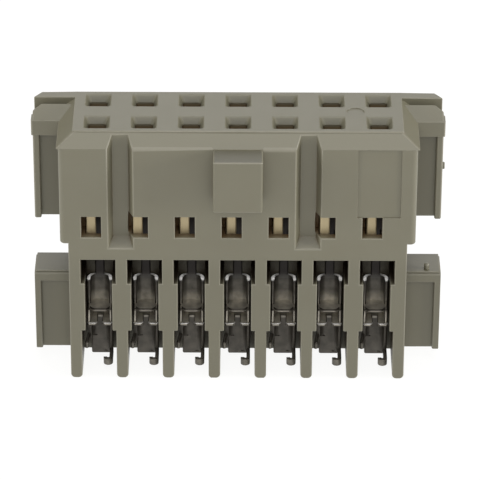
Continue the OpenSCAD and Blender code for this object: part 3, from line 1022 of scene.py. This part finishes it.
@dataclass
class Housing:
    """The one-piece moulded housing, with the small radii that a mould leaves on its edges."""

    cuts: tuple[FaceCut, ...] = (
        # The front and back faces: beside and through the key, and through the windows
        FaceCut(Axis.X, -1.4, Axis.Y), FaceCut(Axis.X, 0.0, Axis.Y), FaceCut(Axis.X, 1.4, Axis.Y),
        FaceCut(Axis.Z, -5.55, Axis.Y),
        # The mating face along and between the rows, and the ends through the ears
        FaceCut(Axis.Y, -1.27, Axis.Z), FaceCut(Axis.Y, 0.0, Axis.Z), FaceCut(Axis.Y, 1.27, Axis.Z),
        FaceCut(Axis.Y, 0.7, Axis.X),
    )
    rounder: EdgeRounder = EdgeRounder(
        radius=0.06, segments=3, sharp_angle=20.0,
        zones=(
            # Fillets between the walls of the lead-ins
            EdgeZone((-8.8, -2.2, -0.45), (8.8, 2.2, 0.01), 0.24, hollow=True),
            # The front mitres of the sloped rim, and the corners of the step above them
            *EdgeZone((8.85, -3.1, -0.8), (9.9, -2.25, -0.08), 0.075).at_both_ends(),
            *EdgeZone((8.8, -2.35, -0.13), (9.0, -2.25, 0.01), 0.16, share=1.4).at_both_ends(),
            # The front edge of the mating face
            EdgeZone((-9.0, -2.35, -0.01), (9.0, -2.25, 0.01), 0.07, share=0.6),
            # The slopes on the ears
            EdgeZone((-12.0, 0.0, -0.9), (12.0, 1.3, -0.5), 0.14),
            # The rim's lower edges, front and back
            EdgeZone((-9.9, -3.2, -0.8), (9.9, -2.9, -0.6), 0.14),
            EdgeZone((-9.9, 2.9, -0.8), (9.9, 3.2, -0.6), 0.14),
            # The key
            EdgeZone((-2.0, -5.0, -4.5), (2.0, -3.0, -0.5), 0.09),
            # The ears and wings
            *EdgeZone((9.7, -2.0, -16.0), (12.0, 3.0, 0.1), 0.09).at_both_ends(),
        ))

    def part_faces(self, mesh: bmesh.types.BMesh) -> None:
        """Part the faces that have holes square to their edges, so that rounding meets no slanted edge.

        Args:
            mesh: The welded housing.
        """
        marks = mesh.edges.layers.int.new("cut")
        for cut in self.cuts:
            cut.apply(mesh, marks)
        bmesh.ops.dissolve_limit(mesh, angle_limit=math.radians(SAME_PLANE), verts=[],
                                 edges=[edge for edge in mesh.edges if not edge[marks]])
        mesh.normal_update()

    def spare_hollows(self, piece: bpy.types.Object) -> None:
        """Take the mark of rounded edges off the faces in the hollow zones, so that they are neither paled
        as wear nor given a painted highlight.

        Args:
            piece: The rounded housing.
        """
        worn = piece.data.attributes[ROUNDED_EDGE].data
        for zone in self.rounder.zones:
            if zone.hollow:
                for face in piece.data.polygons:
                    if zone.encloses(face.center):
                        worn[face.index].value = 0.0

    def build(self) -> bpy.types.Object:
        """Make the housing from the CAD solid.

        Returns:
            The housing's object.
        """
        mesh = welded_copy("housing")
        self.part_faces(mesh)
        piece = self.rounder.round(mesh, "housing_moulding")
        NormalEvener().apply(piece)
        self.spare_hollows(piece)
        return piece

    def dress(self, piece: bpy.types.Object, finish: MouldedPolyester) -> None:
        """Give the housing its finish and its place in the frame.

        Args:
            piece: The housing's object.
            finish: What it is moulded from.
        """
        piece.data.materials.append(finish.build())
        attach(piece, BODY)
        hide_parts("housing")


@dataclass
class ContactRows:
    """Two rows of pressed contacts, repeated from one contact by a node tree."""

    columns: int = COLUMNS
    pitch: float = PITCH
    rounder: EdgeRounder = EdgeRounder(
        radius=0.1, segments=3, sharp_angle=40.0, share=0.43,
        zones=(
            # The arch: its ends, its inside, and what is left of it
            EdgeZone((-0.71, -1.2, -9.9), (0.71, -1.05, -9.8), 0.15, share=0.8),
            EdgeZone((-0.51, -1.2, -9.9), (0.51, -0.64, -9.8), 0.15, share=0.75),
            EdgeZone((-0.71, -1.2, -9.9), (0.71, -0.4, -9.8), 0.035),
            # The mouth of the blade's slot
            EdgeZone((-0.3, -2.0, -12.5), (0.3, -0.9, -12.2), 0.045),
            # The outer edge of the left low wall, which meets the wing's root and stays sharp
            EdgeZone((-0.71, -1.2, -13.33), (-0.69, -1.1, -12.44), 0.0),
            # The relief slits beside the left and the right wing
            EdgeZone((-0.9, -1.2, -13.81), (-0.15, -0.4, -13.72), 0.02),
            EdgeZone((0.15, -1.2, -14.81), (0.75, -0.4, -14.72), 0.02),
            # The curl of the right wing
            EdgeZone((0.1, -2.4, -14.8), (0.75, -1.2, -14.28), 0.04),
        ))

    def master(self) -> bpy.types.Object:
        """Make one contact at the middle of the front row from the CAD solid.

        Returns:
            The contact's object, which the caller removes.
        """
        first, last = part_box("contact_a1"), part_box("contact_a%d" % self.columns)
        middle = (first[0].x + last[0].x) / 2
        mesh = welded_copy("contact_a1")
        bmesh.ops.translate(mesh, verts=mesh.verts, vec=Vector((middle - first[0].x, 0.0, 0.0)))
        return self.rounder.round(mesh, "contact_master")

    def tree(self) -> bpy.types.NodeTree:
        """Build the node tree that sets one contact out along a row.

        Returns:
            A geometry tree with the inputs Contact, Columns, Pitch, Turn and Finish.
        """
        tree = bpy.data.node_groups.new("contact_row", "GeometryNodeTree")
        for name, kind in (("Geometry", "Geometry"), ("Contact", "Object"), ("Columns", "Int"),
                           ("Pitch", "Float"), ("Turn", "Float"), ("Finish", "Material")):
            tree.interface.new_socket(name, in_out="INPUT", socket_type="NodeSocket" + kind)
        tree.interface.new_socket("Geometry", in_out="OUTPUT", socket_type="NodeSocketGeometry")
        add = partial(add_node, tree)
        given = add("NodeGroupInput").node.outputs
        steps = add("ShaderNodeMath", {"operation": "SUBTRACT"}, {0: given["Columns"], 1: 1.0})
        length = add(*TIMES, {0: steps, 1: given["Pitch"]})
        start = add(*TIMES, {0: length, 1: -0.5})
        start_place = add("ShaderNodeCombineXYZ", values={"X": start})
        step_place = add("ShaderNodeCombineXYZ", values={"X": given["Pitch"]})
        line = add("GeometryNodeMeshLine", {"mode": "OFFSET"}, {
            "Count": given["Columns"], "Start Location": start_place, "Offset": step_place})
        shape = add("GeometryNodeObjectInfo", {"transform_space": "ORIGINAL"}, {
            "Object": given["Contact"], "As Instance": True}, "Geometry")
        row = add("GeometryNodeInstanceOnPoints", values={"Points": line, "Instance": shape})
        turn = add("ShaderNodeCombineXYZ", values={"Z": given["Turn"]})
        turned = add("GeometryNodeTransform", values={"Geometry": row, "Rotation": turn})
        solid = add("GeometryNodeRealizeInstances", values={"Geometry": turned})
        finished = add("GeometryNodeSetMaterial", values={"Geometry": solid, "Material": given["Finish"]})
        add("NodeGroupOutput", values={0: finished})
        return tree

    def build(self, row: Row, master: bpy.types.Object, tree: bpy.types.NodeTree,
              finish: bpy.types.Material) -> bpy.types.Object:
        """Set out one row of contacts as a plain mesh.

        Args:
            row: Which row.
            master: The one contact that repeats.
            tree: The node tree that sets it out.
            finish: The contacts' material.

        Returns:
            The row's object.
        """
        name = "contacts_%s" % row.name.lower()
        piece = bpy.data.objects.new(name, bpy.data.meshes.new(name))
        bpy.context.scene.collection.objects.link(piece)
        modifier = piece.modifiers.new("row", "NODES")
        modifier.node_group = tree
        given = {"Contact": master, "Columns": self.columns, "Pitch": self.pitch * MM,
                 "Turn": row.value, "Finish": finish}
        for socket in tree.interface.items_tree:
            if socket.in_out == "INPUT" and socket.name in given:
                modifier[socket.identifier] = given[socket.name]
        apply_modifiers(piece)
        NormalEvener().apply(piece)
        return piece

    def dress(self, piece: bpy.types.Object, row: Row) -> None:
        """Give a row its place in the frame.

        Args:
            piece: The row's object.
            row: Which row it is.
        """
        letter = "a" if row is Row.FRONT else "b"
        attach(piece, BODY)
        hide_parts(*["contact_%s%d" % (letter, i + 1) for i in range(self.columns)])


@dataclass(frozen=True)
class SoftLight:
    """A square soft light that faces the connector: place and side in metres, radiance in paper whites."""

    name: str
    place: tuple[float, float, float]
    side: float
    radiance: float

    def hang(self, middle: Vector) -> None:
        """Hang the light.

        Args:
            middle: The point that it faces.
        """
        data = bpy.data.lights.new(self.name, "AREA")
        data.shape = "SQUARE"
        data.size = self.side
        data.energy = self.radiance * math.pi * self.side * self.side
        lamp = bpy.data.objects.new(self.name, data)
        lamp.location = self.place
        lamp.rotation_mode = "QUATERNION"
        lamp.rotation_quaternion = (Vector(self.place) - middle).to_track_quat("Z", "Y")
        bpy.context.scene.collection.objects.link(lamp)


@dataclass
class Studio:
    """A light tent: an opal floor, a faint even sky, and soft lights as strong as the photograph asks."""

    floor_size: float = 4.0
    sky_colour: str = "#ffffff"
    sky: float = 0.2
    lights: tuple[SoftLight, ...] = (
        SoftLight("tent_top", (0.02, -0.23, 0.32), 0.45, 0.722),
        SoftLight("tent_ceiling", (0.02, 0.0, 0.40), 0.40, 1.854),
        SoftLight("tent_front", (0.0, -0.35, 0.19), 0.30, 1.78),
        SoftLight("tent_back", (0.0, 0.36, 0.20), 0.30, 1.386),
        SoftLight("tent_right", (0.35, -0.08, 0.06), 0.12, 27.5),
        SoftLight("tent_left", (-0.35, -0.08, 0.06), 0.12, 19.5),
    )

    def floor(self) -> None:
        """Lay the floor under the fin tips."""
        bpy.ops.mesh.primitive_plane_add(size=self.floor_size, location=(0.0, 0.0, CAD_BOX[0].z))
        plane = bpy.context.object
        plane.name = "tent_floor"
        plane.data.materials.append(OpalSheet().build())

    def world(self) -> None:
        """Light the tent evenly from all round."""
        world = bpy.data.worlds.new("tent")
        world.use_nodes = True
        background = world.node_tree.nodes["Background"]
        background.inputs["Color"].default_value = linear(self.sky_colour)
        background.inputs["Strength"].default_value = self.sky
        bpy.context.scene.world = world

    def build(self) -> None:
        """Set up the whole studio."""
        self.floor()
        self.world()
        for light in self.lights:
            light.hang((CAD_BOX[0] + CAD_BOX[1]) / 2)


@dataclass
class PhotoCamera:
    """The camera of the photograph, fitted to the connector's grid, in millimetres and degrees."""

    target: tuple[float, float, float] = (0.12, 0.0, -8.01)
    distance: float = 200.7
    azimuth: float = 0.039
    elevation: float = 29.719
    roll: float = 0.199
    sensor: float = 36.0
    lens: float = 272.59
    clip: float = 10.0

    def build(self) -> None:
        """Place the camera and make it the scene's own."""
        azimuth, elevation = math.radians(self.azimuth), math.radians(self.elevation)
        right = Vector((math.cos(azimuth), math.sin(azimuth), 0.0))
        back = Vector((math.sin(azimuth) * math.cos(elevation),
                       -math.cos(azimuth) * math.cos(elevation), math.sin(elevation)))
        up = back.cross(right)
        turn = math.radians(self.roll)
        axis_x = right * math.cos(turn) + up * math.sin(turn)
        axis_y = up * math.cos(turn) - right * math.sin(turn)
        data = bpy.data.cameras.new("photo_camera")
        data.sensor_width = self.sensor
        data.lens = self.lens
        data.clip_start = self.clip * MM
        camera = bpy.data.objects.new("photo_camera", data)
        place = Vector(self.target) * MM + back * self.distance * MM
        stance = Matrix((axis_x, axis_y, back)).transposed().to_4x4()
        camera.matrix_world = Matrix.Translation(place) @ stance
        bpy.context.scene.collection.objects.link(camera)
        bpy.context.scene.camera = camera


def main() -> None:
    """Build the connector's pieces, the studio and the camera."""
    logging.basicConfig(level=logging.INFO, format="%(name)s: %(message)s")
    bpy.context.scene.view_settings.view_transform = "Standard"
    housing = Housing()
    moulding = housing.build()
    housing.dress(moulding, MouldedPolyester())
    LOG.info("%s: %d faces", moulding.name, len(moulding.data.polygons))
    contacts = ContactRows()
    master = contacts.master()
    tree = contacts.tree()
    plating = PlatedBronze().build()
    for row in Row:
        piece = contacts.build(row, master, tree, plating)
        contacts.dress(piece, row)
        LOG.info("%s: %d faces", piece.name, len(piece.data.polygons))
    bpy.data.objects.remove(master)
    Studio().build()
    PhotoCamera().build()


if __name__ == "__main__":
    main()
